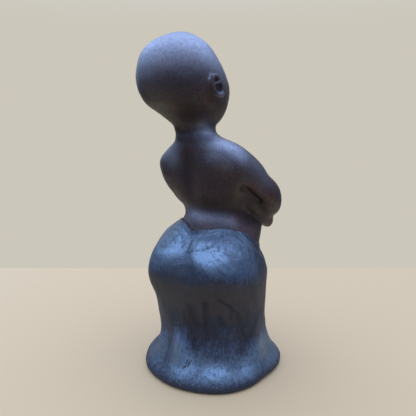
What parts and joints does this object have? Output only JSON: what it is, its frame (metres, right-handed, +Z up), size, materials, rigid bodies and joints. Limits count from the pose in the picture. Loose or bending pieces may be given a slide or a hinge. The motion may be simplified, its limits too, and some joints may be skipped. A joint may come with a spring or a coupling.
{
  "type": "goddess statuette",
  "caption": "Standing woman modelled in dark fired clay: long bare skull, arms folded under the breasts, broad hips and a long skirt that flares into a round hem.",
  "frame": {"origin": "middle of the flat underside, on the surface the figure stands on", "axes": "+Z up from the floor to the crown; the figure faces -Y; her right hand is on the -X side"},
  "size_m": [0.1337, 0.1623, 0.31],
  "materials": {
    "fired_clay": "satin"
  },
  "bodies": {
    "root": {"statuette": "fired_clay"}
  },
  "joints": []
}
